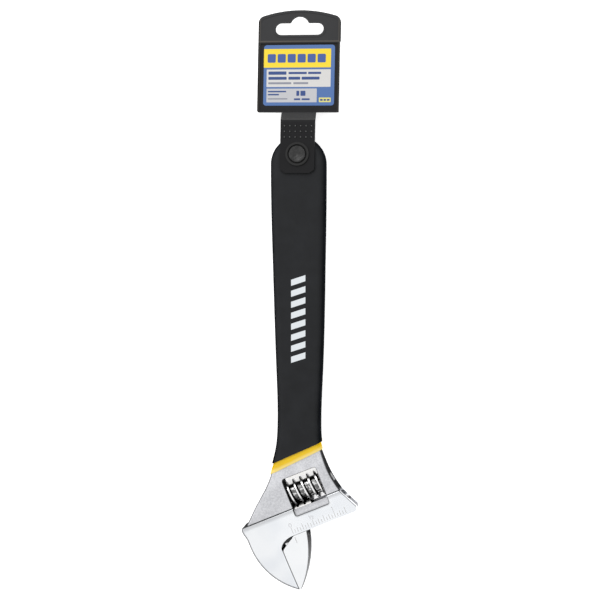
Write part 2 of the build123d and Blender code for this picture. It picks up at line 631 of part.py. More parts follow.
parts = build()
box = Compound(children=[part.located(part.location) for part in parts.values()]).bounding_box()
shift = Pos(-(box.min.X + box.max.X) / 2, -(box.min.Y + box.max.Y) / 2, -box.min.Z)
os.makedirs("parts", exist_ok=True)
for name, part in parts.items():
    export_step(shift * part, f"parts/{name}.step")
    print(name, round(part.volume, 2), part.is_valid)
print("shift", [round(value, 4) for value in shift.position], "size", [round(value, 3) for value in box.size])
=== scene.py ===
"""Looks for the adjustable wrench: procedural finishes on the CAD nodes, and the printed detail."""
import json
import math

import bmesh
import bpy
from mathutils import Matrix, Vector

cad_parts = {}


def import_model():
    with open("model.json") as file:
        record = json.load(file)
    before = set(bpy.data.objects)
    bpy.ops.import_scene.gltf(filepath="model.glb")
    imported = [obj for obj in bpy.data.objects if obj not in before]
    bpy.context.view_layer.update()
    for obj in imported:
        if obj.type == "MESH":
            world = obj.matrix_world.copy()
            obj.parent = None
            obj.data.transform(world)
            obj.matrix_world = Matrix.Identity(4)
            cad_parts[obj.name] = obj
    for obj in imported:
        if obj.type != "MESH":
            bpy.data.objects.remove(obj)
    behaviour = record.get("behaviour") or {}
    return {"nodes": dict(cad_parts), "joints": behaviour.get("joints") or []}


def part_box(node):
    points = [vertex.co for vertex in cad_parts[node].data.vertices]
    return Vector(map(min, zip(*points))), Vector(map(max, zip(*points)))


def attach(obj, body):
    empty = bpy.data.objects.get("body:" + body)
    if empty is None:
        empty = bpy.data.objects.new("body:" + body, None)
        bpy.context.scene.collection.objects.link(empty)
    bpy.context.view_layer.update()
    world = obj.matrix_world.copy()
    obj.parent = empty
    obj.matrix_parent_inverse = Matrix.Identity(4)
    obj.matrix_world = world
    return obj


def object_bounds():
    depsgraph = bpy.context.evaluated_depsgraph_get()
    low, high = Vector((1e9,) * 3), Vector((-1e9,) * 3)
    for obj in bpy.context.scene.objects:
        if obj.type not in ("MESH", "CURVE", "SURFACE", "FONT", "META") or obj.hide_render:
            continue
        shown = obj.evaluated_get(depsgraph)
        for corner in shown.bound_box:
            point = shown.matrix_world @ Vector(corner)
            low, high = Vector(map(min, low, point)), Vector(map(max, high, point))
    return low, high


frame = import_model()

MM = 0.001
INCH = 25.4  # in millimetres
cad_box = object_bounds()
joints = {joint["name"]: joint for joint in frame["joints"]}


def mm(*values):
    """Millimetres as metres."""
    return tuple(value * MM for value in values)


# --- places worked out from the frame -------------------------------------------------------------
TRAVEL = Vector(joints["jaw_slide"]["axis"])  # the way the movable jaw opens
TO_HANDLE = Vector((-TRAVEL.y, TRAVEL.x, 0))
SCREW = Vector(joints["worm_spin"]["pos_m"])
SCREW_IN_HEAD = mm(24.35, 21.0)
HEAD = SCREW - TRAVEL * SCREW_IN_HEAD[0] - TO_HANDLE * SCREW_IN_HEAD[1]  # rail edge meets gripping face
HEAD_TURN = math.atan2(TRAVEL.y, TRAVEL.x)
RIVET = Vector(joints["tag_swivel"]["pos_m"])
TAG_LEAN = math.radians(-1.1)
BAND = HEAD + Vector((10.4, 44.2, 0)) * MM  # a point of the yellow coat's end line
BAND_TURN = math.radians(26.7)

FACE_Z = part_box("wrench_body")[1].z
BACK_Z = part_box("wrench_body")[0].z
HEAD_HALF = FACE_Z - (FACE_Z + BACK_Z) / 2  # from mid thickness to the head's faces
LABEL_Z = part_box("tag_label")[1].z
COLLAR_HEIGHT = 1.1 * MM
STRAP_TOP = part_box("hang_tag")[1].z - COLLAR_HEIGHT - RIVET.z  # above the tag frame's origin


def head_point(x, y, z=0.0):
    """A point of the head frame in millimetres, placed in the row frame."""
    return HEAD + (TRAVEL * x + TO_HANDLE * y + Vector((0, 0, z))) * MM


def tag_point(x, y, z):
    """A point of the tag frame in millimetres, placed in the row frame at height z in metres."""
    turned = Matrix.Rotation(TAG_LEAN, 3, "Z") @ Vector((x, y, 0)) * MM
    return Vector((RIVET.x + turned.x, RIVET.y + turned.y, z))


# --- node trees -----------------------------------------------------------------------------------
MIX_SOCKETS = {"FLOAT": (2, 3, 0), "VECTOR": (4, 5, 1), "RGBA": (6, 7, 2)}  # two inputs and the output


class Tree:
    """A material's node tree, built by calls that return output sockets."""

    def __init__(self, name):
        self.material = bpy.data.materials.new(name)
        self.material.use_nodes = True
        self.tree = self.material.node_tree
        self.tree.nodes.clear()
        self.out = self.tree.nodes.new("ShaderNodeOutputMaterial")
        self.shader = self.tree.nodes.new("ShaderNodeBsdfPrincipled")
        self.tree.links.new(self.shader.outputs[0], self.out.inputs[0])
        self.place = self.tree.nodes.new("ShaderNodeTexCoord").outputs["Object"]

    def put(self, socket, value):
        """Sets a socket, or links it if the value is an output."""
        if isinstance(value, bpy.types.NodeSocket):
            self.tree.links.new(value, socket)
        elif value is not None:
            socket.default_value = value

    def surface(self, **values):
        """Sets the shader's inputs by name, with spaces as underscores."""
        for name, value in values.items():
            self.put(self.shader.inputs[name.replace("_", " ")], value)

    def math(self, operation, a, b=0.0):
        """A Math node; b is left alone by operations that take one number."""
        node = self.tree.nodes.new("ShaderNodeMath")
        node.operation = operation
        self.put(node.inputs[0], a)
        self.put(node.inputs[1], b)
        return node.outputs[0]

    def step(self, value, low, high, to_low=0.0, to_high=1.0):
        """A smooth ramp of a value from low to high."""
        node = self.tree.nodes.new("ShaderNodeMapRange")
        node.interpolation_type = "SMOOTHSTEP"
        for socket, number in zip(node.inputs, (value, low, high, to_low, to_high)):
            self.put(socket, number)
        return node.outputs[0]

    def mix(self, kind, share, a, b):
        """Number, vector or colour a at share 0 and b at share 1."""
        node = self.tree.nodes.new("ShaderNodeMix")
        node.data_type = kind
        first, second, result = MIX_SOCKETS[kind]
        self.put(node.inputs["Factor"], share)
        self.put(node.inputs[first], a)
        self.put(node.inputs[second], b)
        return node.outputs[result]

    def blend(self, share, a, b):
        """Colour a at share 0 and b at share 1."""
        return self.mix("RGBA", share, a, b)

    def moved(self, scale=(1, 1, 1), turn=0.0, shift=(0, 0, 0)):
        """Object coordinates turned about Z, then scaled, then shifted."""
        turned = self.tree.nodes.new("ShaderNodeMapping")
        turned.inputs["Rotation"].default_value = (0, 0, turn)
        self.put(turned.inputs["Vector"], self.place)
        scaled = self.tree.nodes.new("ShaderNodeMapping")
        scaled.inputs["Scale"].default_value = scale
        scaled.inputs["Location"].default_value = shift
        self.put(scaled.inputs["Vector"], turned.outputs[0])
        return scaled.outputs[0]

    def noise(self, size, detail=3.0, vector=None, rough=0.55):
        """Noise whose grains are about this size in metres."""
        node = self.tree.nodes.new("ShaderNodeTexNoise")
        self.put(node.inputs["Vector"], self.place if vector is None else vector)
        node.inputs["Scale"].default_value = 1 / size
        node.inputs["Detail"].default_value = detail
        node.inputs["Roughness"].default_value = rough
        return node.outputs["Fac"]

    def cells(self, size):
        """Distance to the nearest of points this far apart."""
        node = self.tree.nodes.new("ShaderNodeTexVoronoi")
        self.put(node.inputs["Vector"], self.place)
        node.inputs["Scale"].default_value = 1 / size
        return node.outputs["Distance"]

    def axes(self, vector=None):
        """X, Y and Z of a vector, or of the object coordinates."""
        node = self.tree.nodes.new("ShaderNodeSeparateXYZ")
        self.put(node.inputs[0], self.place if vector is None else vector)
        return node.outputs

    def facing(self):
        """Absolute Z of the surface normal in the object's own frame: 1 on level faces."""
        normal = self.tree.nodes.new("ShaderNodeTexCoord").outputs["Normal"]
        return self.math("ABSOLUTE", self.axes(normal)[2])

    def product(self, *shares):
        """Shares multiplied together."""
        result = shares[0]
        for share in shares[1:]:
            result = self.math("MULTIPLY", result, share)
        return result

    def scaled(self, value, share, start=0.0):
        """A share of a value, added to a start."""
        return self.math("ADD", self.math("MULTIPLY", value, share), start)

    def opposite(self, share):
        """What a share leaves of 1."""
        return self.math("SUBTRACT", 1.0, share)

    def within(self, value, low, high, soft):
        """1 between low and high, with soft ends."""
        return self.math("MULTIPLY", self.step(value, low - soft, low), self.step(value, high + soft, high))

    def outside_of(self, x, y, x_range, y_range, radius):
        """Distance outside a rounded rectangle's outline, all in metres."""
        corner = []
        for value, (low, high) in ((x, x_range), (y, y_range)):
            from_middle = self.math("ABSOLUTE", self.math("SUBTRACT", value, (low + high) / 2))
            beyond = self.math("SUBTRACT", from_middle, (high - low) / 2 - radius)
            corner.append(self.math("MAXIMUM", beyond, 0.0))
        square = self.math("ADD", *(self.math("POWER", value, 2.0) for value in corner))
        return self.math("SUBTRACT", self.math("SQRT", square), radius)

    def toned(self, colour, share):
        """A colour multiplied by a share."""
        node = self.tree.nodes.new("ShaderNodeVectorMath")
        node.operation = "SCALE"
        self.put(node.inputs[0], colour)
        self.put(node.inputs["Scale"], share)
        return node.outputs[0]

    def bump(self, height, strength, depth, under=None):
        """A normal bent by a height, on top of another bump if there is one."""
        node = self.tree.nodes.new("ShaderNodeBump")
        node.inputs["Strength"].default_value = strength
        node.inputs["Distance"].default_value = depth
        self.put(node.inputs["Height"], height)
        if under is not None:
            self.put(node.inputs["Normal"], under)
        return node.outputs[0]


def grey(value, warm=0.0):
    """A grey colour, a little redder and less blue if warm."""
    return (value * (1 + warm), value, value * (1 - warm), 1)


def frame_axes(tree, origin, turn):
    """Object coordinates in a frame turned about Z, as (x, y, height above origin) outputs."""
    turned = Matrix.Rotation(-turn, 3, "Z") @ origin
    return tree.axes(tree.moved(turn=-turn, shift=(-turned.x, -turned.y, -origin.z)))


# --- metals ---------------------------------------------------------------------------------------
# Places are in the head frame: x the way the jaw opens, y towards the handle, heights from mid thickness.
# A fade is a pair of values, from where a finish is absent to where it is full.
WINDOW_X = mm(14.2, 34.5)  # the screw's opening, with the slope at its rail side
WINDOW_Y = mm(9.2, 30.6)
WINDOW_CORNER = 1.4 * MM
RIM_LINE = mm(-0.1, 0.18)  # a painted dark line of shade at this distance from the opening's outline
RIM_SHADE_FADE = mm(1.3, 0.1)
RIM_SHADE_Y_FADE = mm(10.5, 9.0)
SCOOP_FADE = mm(8.9, 9.3)  # onto the slope
SLOPE_SHADE_Y = mm(9.0, 12.9)
SLOPE_END_FADE = mm(14.2, 13.6)
BLOCK_FADE = mm(14.3, 14.0)  # from the web onto the ground block
BLOCK_HEIGHT_FADE = mm(4.4, 4.9)
BY_OPENING_FADE = mm(10.6, 12.9)  # painted shade on the ground faces beside the opening
OUTWARD_FADE = mm(9, -9)  # painted shade from the throat to the fixed jaw's back
RAIL_END_FADE = mm(41.0, 41.6)
RAIL_TOP_FADE = mm(14.0, 13.4)
SCALE_X, SCALE_Y = mm(9, 42), mm(0.8, 7)  # the engraved scale lies between these
INDEX_FADE = mm(-5.0, -4.6)  # the jaw's index mark
RACK_FADE = mm(2, 4)
THROAT_X, THROAT_Y = mm(-0.4, 9.3), mm(-6.4, 0.4)  # the gap between the jaws' curved shoulders
MARK_DEPTHS = mm(0.14, 0.09)  # the floor of the marks lies between these depths
CREST_RADII, ROOT_RADII = mm(7.2, 7.42), mm(5.5, 5.34)  # fades about the screw's axis
WALL_TONE = 0.1  # painted shade of upright walls, against 1 on level faces
GRIND_TURN = math.radians(6)  # of the forging's ground lines against the rail; the jaw's lie across them
GRINDING = (0.06, 0.01 * MM)  # strength and depth of the ground lines
LINE_THINNESS = 0.02  # width of a ground line for its length


def under_faces(tree, height, shallow, deep):
    """Fade from one depth under the head's faces to a larger one, in millimetres."""
    return tree.step(height, HEAD_HALF - shallow * MM, HEAD_HALF - deep * MM)


def mark_floor(tree, height):
    """The floor of the marks engraved in the head's faces."""
    lowest, highest = (HEAD_HALF - depth for depth in MARK_DEPTHS)
    return tree.within(height, lowest, highest, 0.02 * MM)


def throat_shade(tree, x, y, height):
    """Painted shade below the faces between the jaws' curved shoulders."""
    inside = tree.product(tree.within(x, *THROAT_X, 0.2 * MM), tree.within(y, *THROAT_Y, 0.2 * MM))
    return tree.product(inside, under_faces(tree, height, 0.3, 0.6), 0.95)


def lines_along(tree, angle, width):
    """Fine straight grinding lines that run at an angle in the X-Y plane."""
    return tree.noise(width, 2.0, tree.moved(scale=(LINE_THINNESS, 1, 1), turn=-angle))


def gloss_tint(tree, tone):
    """Dims the reflection of walls darkened by painted shade, so that they don't shine white at a grazing
    angle.
    """
    return tree.blend(tone, grey(0.04), grey(1.0))


def satin_colour(tree, y, grain, scoop):
    """Blasted plate in soft clouds, with painted shade down the slope between the rail and the opening."""
    mottle = tree.scaled(tree.noise(7 * MM, 3.0), 0.3, tree.product(grain, 0.7))
    satin = tree.blend(tree.step(mottle, 0.38, 0.62), (0.54, 0.545, 0.57, 1), (0.725, 0.73, 0.755, 1))
    # Painted shade down the slope towards the screw's opening.
    slope = tree.product(scoop, tree.step(y, *SLOPE_SHADE_Y, 0.1, 0.3),
                         tree.step(y, *SLOPE_END_FADE))
    return tree.toned(satin, tree.opposite(slope))


def ground_colour(tree, x, y, height):
    """Polished plate in wide clouds, with painted shade beside the opening and outwards, and grey in the
    scale's marks.
    """
    wide = tree.step(tree.noise(16 * MM, 1.0), 0.3, 0.7)
    bright = tree.blend(wide, (0.84, 0.865, 0.90, 1), (0.93, 0.945, 0.965, 1))
    # Painted shade by the step to the web beside the opening, and a little towards the fixed jaw's back.
    painted_face_shade = tree.product(tree.step(y, *BY_OPENING_FADE, 1.0, 0.72), tree.step(x, *OUTWARD_FADE, 1.0, 0.95))
    mark = tree.product(mark_floor(tree, height), tree.within(y, *SCALE_Y, 0.1 * MM),
                        tree.within(x, *SCALE_X, 0.2 * MM))
    return tree.blend(mark, tree.toned(bright, painted_face_shade), grey(0.66))


def painted_shade(tree, x, y, height, tilt):
    """Painted shade: a dark line round the opening, a soft shadow under it and the dark gap of the throat.
    """
    opening = tree.outside_of(x, y, WINDOW_X, WINDOW_Y, WINDOW_CORNER)
    rim = tree.product(tree.within(opening, *RIM_LINE, 0.2 * MM), tree.step(tilt, 0.9, 0.99))
    soft = tree.product(tree.step(opening, *RIM_SHADE_FADE), tree.step(y, *RIM_SHADE_Y_FADE), 0.3)
    return tree.product(tree.opposite(tree.product(rim, 0.82)), tree.opposite(soft),
                        tree.opposite(throat_shade(tree, x, y, height)))


def forged_walls(tree, x, y, tilt):
    """Painted shade by tilt: walls are dark, apart from the one at the rail's end, which is left bright."""
    rail_end = tree.product(tree.step(x, *RAIL_END_FADE), tree.step(y, *RAIL_TOP_FADE))
    bright_rail_end_wall = tree.product(rail_end, tree.step(tilt, 0.3, 0.1))
    return tree.math("MAXIMUM", tree.step(tilt, 0.6, 0.995, WALL_TONE, 1.0), bright_rail_end_wall)


def forged_chrome():
    """Blasted satin plate on the forging, polished on its ground faces, dark in marks, with painted shade
    on its edges and walls.
    """
    tree = Tree("forged_chrome")
    x, y, z = frame_axes(tree, HEAD, HEAD_TURN)
    height = tree.math("ABSOLUTE", z)
    tilt = tree.facing()
    scoop = tree.product(tree.within(x, *WINDOW_X, 0.4 * MM), tree.step(y, *SCOOP_FADE),
                         under_faces(tree, height, 0.1, 0.3))
    on_block = tree.product(tree.step(y, *BLOCK_FADE), tree.step(height, *BLOCK_HEIGHT_FADE))
    ground = tree.product(on_block, tree.opposite(scoop))
    grain = tree.noise(0.85 * MM, 4.0, rough=0.8)
    blast = tree.cells(0.42 * MM)
    lines = lines_along(tree, HEAD_TURN + GRIND_TURN, 0.18 * MM)
    finish = tree.blend(ground, satin_colour(tree, y, grain, scoop), ground_colour(tree, x, y, height))
    walls = forged_walls(tree, x, y, tilt)
    pitted = tree.bump(blast, 0.3, 0.035 * MM, tree.bump(grain, 0.25, 0.03 * MM))
    tone = tree.product(walls, painted_shade(tree, x, y, height, tilt))
    rough = tree.mix("FLOAT", ground, tree.scaled(grain, 0.2, 0.3), tree.scaled(lines, 0.12, 0.1))
    tree.surface(Base_Color=tree.toned(finish, tone), Metallic=1.0,
                 Specular_Tint=gloss_tint(tree, walls), Roughness=rough,
                 Normal=tree.mix("VECTOR", ground, pitted, tree.bump(lines, *GRINDING)))
    return tree.material


def polished_chrome():
    """The movable jaw: bright ground faces, painted shade on its edges, in the throat and on the rack, and
    a dark index mark.
    """
    tree = Tree("polished_chrome")
    x, y, z = frame_axes(tree, HEAD, HEAD_TURN)
    height = tree.math("ABSOLUTE", z)
    lines = lines_along(tree, HEAD_TURN + GRIND_TURN + math.radians(90), 0.16 * MM)
    smear = tree.noise(12 * MM, 2.0)
    mark = tree.product(mark_floor(tree, height), tree.step(y, *INDEX_FADE))
    # Painted shade on the rack, which sits inside the head: darker and a little warm, in clouds.
    rack_shade = tree.product(tree.step(y, *RACK_FADE), tree.step(smear, 0.2, 0.8, 0.5, 1.0))
    bright = tree.blend(smear, (0.86, 0.88, 0.9, 1), (0.96, 0.965, 0.975, 1))
    colour = tree.blend(rack_shade, tree.blend(mark, bright, grey(0.6)), grey(0.3, 0.04))
    # Painted shade: edges and walls darken by tilt, and the throat's gap is shaded.
    walls = tree.product(tree.step(tree.facing(), 0.5, 0.97, WALL_TONE, 1.0),
                         tree.opposite(throat_shade(tree, x, y, height)))
    rough = tree.scaled(lines, 0.1, tree.product(smear, 0.1))
    tree.surface(Base_Color=tree.toned(colour, walls), Metallic=1.0, Specular_Tint=gloss_tint(tree, walls),
                 Roughness=tree.math("ADD", rough, 0.06), Normal=tree.bump(lines, *GRINDING))
    return tree.material


def screw_chrome():
    """The adjusting screw: bright crests, roots with painted highlight streaks, and painted shade dark on
    the flanks between them.
    """
    tree = Tree("screw_chrome")
    across, height = frame_axes(tree, SCREW, HEAD_TURN)[1:]
    squares = (tree.math("POWER", value, 2.0) for value in (across, height))
    radius = tree.math("SQRT", tree.math("ADD", *squares))
    crest = tree.step(radius, *CREST_RADII)
    root = tree.step(radius, *ROOT_RADII)
    screw_mottle = tree.noise(1.3 * MM, 3.0)
    # Painted highlight streaks on the screw's roots.
    root_highlight = tree.step(tree.noise(1.6 * MM, 2.0), 0.5, 0.62)
    # Painted shade on the flanks between crests and roots, mottled.
    flank_shade = tree.blend(screw_mottle, grey(0.01), grey(0.04))
    highlighted_root = tree.blend(root_highlight, grey(0.16), grey(0.75))
    tree.surface(Base_Color=tree.blend(crest, tree.blend(root, flank_shade, highlighted_root), grey(0.93)), Metallic=1.0,
                 Roughness=tree.scaled(screw_mottle, 0.15, 0.08), Normal=tree.bump(screw_mottle, 0.08, 0.05 * MM))
    return tree.material


def pin_steel():
    """Turned steel of the screw's pin and spring."""
    tree = Tree("pin_steel")
    turning = tree.noise(0.12 * MM, 2.0)
    tree.surface(Base_Color=tree.blend(turning, grey(0.3), grey(0.5)), Metallic=1.0,
                 Roughness=tree.scaled(turning, 0.2, 0.3), Normal=tree.bump(turning, 0.1, 0.02 * MM))
    return tree.material


# --- plastics -------------------------------------------------------------------------------------
LIP_FADE = mm(2.4, 0.6)  # from the band's end line
LIP_WAVE = 1.6 * MM
# Places on the tag are from its rivet: y towards the hanger slot, x across.
TAG_MIDDLE = -0.5 * MM
STRAP_TO_PLATE = mm(17, 23)
BEND_Y = mm(19.3, 23.6)
SEAM_Y = mm(62.9, 63.5)  # upper end of the label's frame
RIM_FROM_Y = mm(22, 24)
FRAME_FROM_Y, FRAME_TO_Y = mm(23.4, 24), mm(62.9, 62.4)
BRIM_FROM, BRIM_TO = mm(21.6, 21.9), mm(22.7, 22.4)  # from the plate's middle
BORDER_FROM = mm(22.3, 22.7)
RING_Y, RING_HEIGHT = mm(8, 7.5), mm(0.85, 1.0)  # heights above the strap
PIPS_Y, PIP_HEIGHT = mm(8, 17), mm(0.1, 0.2)


def dipped(name, low, high, roughness, gloss, lip=None):
    """Plastisol dip: fine pebbled skin with faint clouds of colour, its reflection taken off the rounded
    sides as painted shade. A lip paints a highlight along the band's lower edge.
    """
    tree = Tree(name)
    pebble = tree.cells(0.7 * MM)
    fine = tree.noise(0.3 * MM, 3.0)
    cloud = tree.noise(9 * MM, 3.0)
    tone = tree.scaled(cloud, 0.6, tree.product(fine, 0.4))
    colour = tree.blend(tree.step(tone, 0.3, 0.7), low, high)
    if lip:
        # Painted highlight along the band's lower edge, where the coat rounds over its lip.
        across = frame_axes(tree, BAND, BAND_TURN)[1]
        wave = tree.product(tree.math("SUBTRACT", cloud, 0.5), LIP_WAVE)
        colour = tree.blend(tree.step(tree.math("ADD", across, wave), *LIP_FADE), colour, lip)
    skin = tree.bump(fine, 0.15, 0.05 * MM, tree.bump(pebble, 0.22, 0.07 * MM))
    # Reflection only on level faces: the rounded sides are left dark, as painted shade.
    sheen = tree.step(tree.facing(), 0.6, 0.99, 0.0, gloss)
    tree.surface(Base_Color=colour, Roughness=tree.scaled(fine, 0.14, roughness), Normal=skin,
                 Specular_IOR_Level=sheen)
    return tree.material


def tag_shade(tree, y, from_middle):
    """Painted shade of the tag: dark side walls, and shade along the plate's border and the label's frame.
    """
    level = tree.step(tree.facing(), 0.35, 0.97, 0.15, 1.0)
    border = tree.product(tree.step(y, *FRAME_FROM_Y), tree.step(from_middle, *BORDER_FROM), 0.7)
    framing = tree.product(tree.step(y, *FRAME_FROM_Y), tree.step(y, *FRAME_TO_Y), 0.45)
    return tree.product(level, tree.opposite(border), tree.opposite(framing))


def tag_plastic():
    """Moulded polypropylene with a spark-eroded surface, matt on the plate and darker on the strap, with
    painted highlights on the bend, rims and collar and painted shade on walls and border.
    """
    tree = Tree("tag_plastic")
    x, y, z = frame_axes(tree, RIVET, TAG_LEAN)
    from_middle = tree.math("ABSOLUTE", tree.math("ADD", x, -TAG_MIDDLE))
    texture = tree.noise(0.45 * MM, 3.0)
    flow = tree.noise(11 * MM, 2.0)
    plate = tree.blend(flow, (0.016, 0.016, 0.018, 1), (0.026, 0.026, 0.028, 1))
    strap = tree.blend(flow, (0.003, 0.003, 0.004, 1), (0.007, 0.007, 0.008, 1))
    bend_highlight = tree.blend(flow, grey(0.045), grey(0.07))  # painted highlight on the bend's slope, which faces the light
    colour = tree.blend(tree.step(y, *STRAP_TO_PLATE), strap, plate)
    colour = tree.blend(tree.within(y, *BEND_Y, 0.5 * MM), colour, bend_highlight)
    # Painted brownish highlights along the plate's side rim and the label frame's seam.
    brim_highlight = tree.product(tree.step(y, *RIM_FROM_Y), tree.step(from_middle, *BRIM_FROM),
                        tree.step(from_middle, *BRIM_TO), 0.55)
    rim_and_seam_highlight = tree.math("MAXIMUM", brim_highlight, tree.within(y, *SEAM_Y, 0.2 * MM))
    shade = tag_shade(tree, y, from_middle)
    colour = tree.toned(tree.blend(rim_and_seam_highlight, colour, (0.075, 0.066, 0.056, 1)), shade)
    # Painted highlight on the top of the rivet's collar ring.
    ring_highlight = tree.product(tree.step(z, *(STRAP_TOP + height for height in RING_HEIGHT)),
                               tree.step(y, *RING_Y))
    pip = tree.product(tree.step(z, *(STRAP_TOP + height for height in PIP_HEIGHT)),
                       tree.within(y, *PIPS_Y, 0.3 * MM))
    # Reflection is dimmed by the painted shade as well.
    gloss = tree.product(tree.step(y, *STRAP_TO_PLATE, 0.22, 0.38), shade)
    tree.surface(Base_Color=tree.blend(ring_highlight, colour, grey(0.02)),
                 Roughness=tree.mix("FLOAT", pip, tree.scaled(texture, 0.14, 0.34), 0.14),
                 Normal=tree.bump(texture, 0.22, 0.05 * MM),
                 Specular_IOR_Level=tree.math("ADD", gloss, tree.product(pip, 0.8)))
    return tree.material


def rivet_plastic():
    """Glossier plastic of the push rivet, scuffed where it was pressed in."""
    tree = Tree("rivet_plastic")
    scuff = tree.noise(1.4 * MM, 4.0, rough=0.65)
    colour = tree.blend(tree.step(scuff, 0.35, 0.65), grey(0.002), grey(0.022))
    tree.surface(Base_Color=colour, Roughness=tree.scaled(scuff, 0.3, 0.1),
                 Normal=tree.bump(scuff, 0.5, 0.25 * MM), Specular_IOR_Level=0.5)
    return tree.material


def printed(name, colour, roughness=0.42, speckle=0.06):
    """Ink on film or on the grip, with a fine halftone unevenness."""
    tree = Tree(name)
    ink = tree.noise(0.5 * MM, 3.0)
    pale = tuple(min(1.0, c * (1 + speckle)) for c in colour) + (1,)
    deep = tuple(c * (1 - speckle) for c in colour) + (1,)
    tree.surface(Base_Color=tree.blend(ink, deep, pale), Roughness=tree.scaled(ink, 0.1, roughness),
                 Normal=tree.bump(ink, 0.08, 0.02 * MM))
    return tree.material


def paint(node, material):
    """Gives a CAD node one material."""
    slots = frame["nodes"][node].material_slots
    if not slots:
        frame["nodes"][node].data.materials.append(material)
    for slot in slots:
        slot.material = material


paint("wrench_body", forged_chrome())
paint("movable_jaw", polished_chrome())
paint("worm_screw", screw_chrome())
steel = pin_steel()
paint("worm_pin", steel)
paint("worm_spring", steel)
paint("grip_black_sleeve", dipped(
    "black_plastisol", (0.006, 0.0068, 0.0082, 1), (0.011, 0.0122, 0.0145, 1), roughness=0.5, gloss=0.27))
paint("grip_yellow_sleeve", dipped(
    "yellow_plastisol", (0.8, 0.5, 0.006, 1), (0.92, 0.6, 0.012, 1), roughness=0.42, gloss=0.35,
    lip=(0.92, 0.71, 0.2, 1)))
paint("grip_graphic", printed("white_print", (0.77, 0.81, 0.84), speckle=0.08))
paint("hang_tag", tag_plastic())
paint("tag_label", printed("label_blue", (0.075, 0.165, 0.41)))
rivet = rivet_plastic()
paint("rivet_stud", rivet)
paint("rivet_cap", rivet)


# --- print on the label and the rail --------------------------------------------------------------
PRINT_STEP = 0.03 * MM  # height of a level of print
INK_SHARE = 0.8  # thickness of the ink in its level
PANEL_LEVEL = 0.2
BAR_LEVEL = 1.3
BLOCK_COUNT = 6  # blocks in place of the header's word
BLOCK_LEFT, BLOCK_WIDTH, BLOCK_PITCH = -18.1, 4.6, 5.6
SCALE_ZERO = 9.4  # x of the scale's first mark in the head frame
NUMERAL_Y = 5.9
NUMERAL_RISE = 0.02  # above and below the head's face


def round_outline(x, y, radius, steps=5):
    """Corner points of a rounded rectangle between two x and two y values."""
    points = []
    corners = ((x[1], y[1], 0), (x[0], y[1], 90), (x[0], y[0], 180), (x[1], y[0], 270))
    for corner_x, corner_y, start in corners:
        middle_x = corner_x - radius * (1 if start in (0, 270) else -1)
        middle_y = corner_y - radius * (1 if start in (0, 90) else -1)
        for step in range(steps + 1):
            angle = math.radians(start + 90 * step / steps)
            points.append((middle_x + radius * math.cos(angle), middle_y + radius * math.sin(angle)))
    return points


def prisms(name, outlines, place, low, high, material, body):
    """Flat closed outlines raised between two heights, as one piece that rides on a body."""
    mesh = bmesh.new()
    for outline in outlines:
        bottom = [mesh.verts.new(place(x, y, low)) for x, y in outline]
        top = [mesh.verts.new(place(x, y, high)) for x, y in outline]
        mesh.faces.new(top)
        mesh.faces.new(list(reversed(bottom)))
        for i in range(len(outline)):
            j = (i + 1) % len(outline)
            mesh.faces.new((bottom[i], bottom[j], top[j], top[i]))
    data = bpy.data.meshes.new(name)
    mesh.to_mesh(data)
    mesh.free()
    piece = bpy.data.objects.new(name, data)
    bpy.context.scene.collection.objects.link(piece)
    data.materials.append(material)
    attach(piece, body)
    return piece


def label_bars(name, rows, level, material, radius=0.25):
    """Rounded bars on the label. Each row is (low y, high y, [(left x, right x), ...]) in the tag frame."""
    outlines = [round_outline((left, right), (low, high), radius)
                for low, high, spans in rows for left, right in spans]
    low = LABEL_Z + level * PRINT_STEP
    prisms(name, outlines, tag_point, low, low + PRINT_STEP * INK_SHARE, material, "tag")


def label_panels():
    """Coloured panels of the label."""
    panels = [
        ("label_header", (48.65, 59.05, [(-20.2, 17.4)]), "print_yellow", (0.95, 0.71, 0.028)),
        ("label_upper_panel", (37.85, 47.6, [(-18.5, 17.4)]), "print_pale", (0.69, 0.68, 0.665)),
        ("label_lower_panel", (29.3, 36.95, [(-18.4, 9.8)]), "print_cool_grey", (0.55, 0.555, 0.58)),
        ("label_chip", (29.35, 31.9, [(11.05, 17.65)]), "print_chip", (0.77, 0.71, 0.22)),
    ]
    for name, row, ink, colour in panels:
        label_bars(name, [row], PANEL_LEVEL, printed(ink, colour))


def label_print():
    """Plain blocks and bars in place of the label's text."""
    navy = printed("print_navy", (0.03, 0.07, 0.24))
    faint = printed("print_faint", (0.27, 0.28, 0.34))
    lefts = [BLOCK_LEFT + BLOCK_PITCH * i for i in range(BLOCK_COUNT)]
    blocks = [(left, left + BLOCK_WIDTH) for left in lefts]
    label_bars("label_header_blocks", [(51.4, 56.2, blocks)], BAR_LEVEL,
               printed("print_blue", (0.05, 0.105, 0.35)), 0.7)
    label_bars("label_bold_bars", [
        (44.7, 46.5, [(-17.5, -7.4)]),
        (41.9, 43.5, [(-17.5, -7.2), (-6.2, 0.4), (1.2, 11.2)]),
        (32.9, 35.7, [(-1.6, 0.0), (0.7, 3.5)]),
    ], BAR_LEVEL, navy, 0.35)
    label_bars("label_fine_bars", [
        (45.0, 46.2, [(-6.2, 4.0), (4.8, 12.0)]),
        (34.9, 35.7, [(-17.6, -7.4)]),
        (33.2, 34.0, [(-17.6, -11.4)]),
        (30.5, 31.5, [(-2.9, 0.6), (1.4, 5.9)]),
    ], BAR_LEVEL, navy, 0.2)
    label_bars("label_faint_bars", [
        (39.4, 40.5, [(-17.5, -4.6), (-3.4, 4.9)]),
        (30.9, 31.6, [(-17.6, -6.6)]),
    ], BAR_LEVEL, faint, 0.2)
    label_bars("label_chip_bars", [
        (30.1, 31.1, [(11.7, 13.2), (13.7, 15.0), (15.5, 17.0)]),
    ], BAR_LEVEL, navy, 0.2)


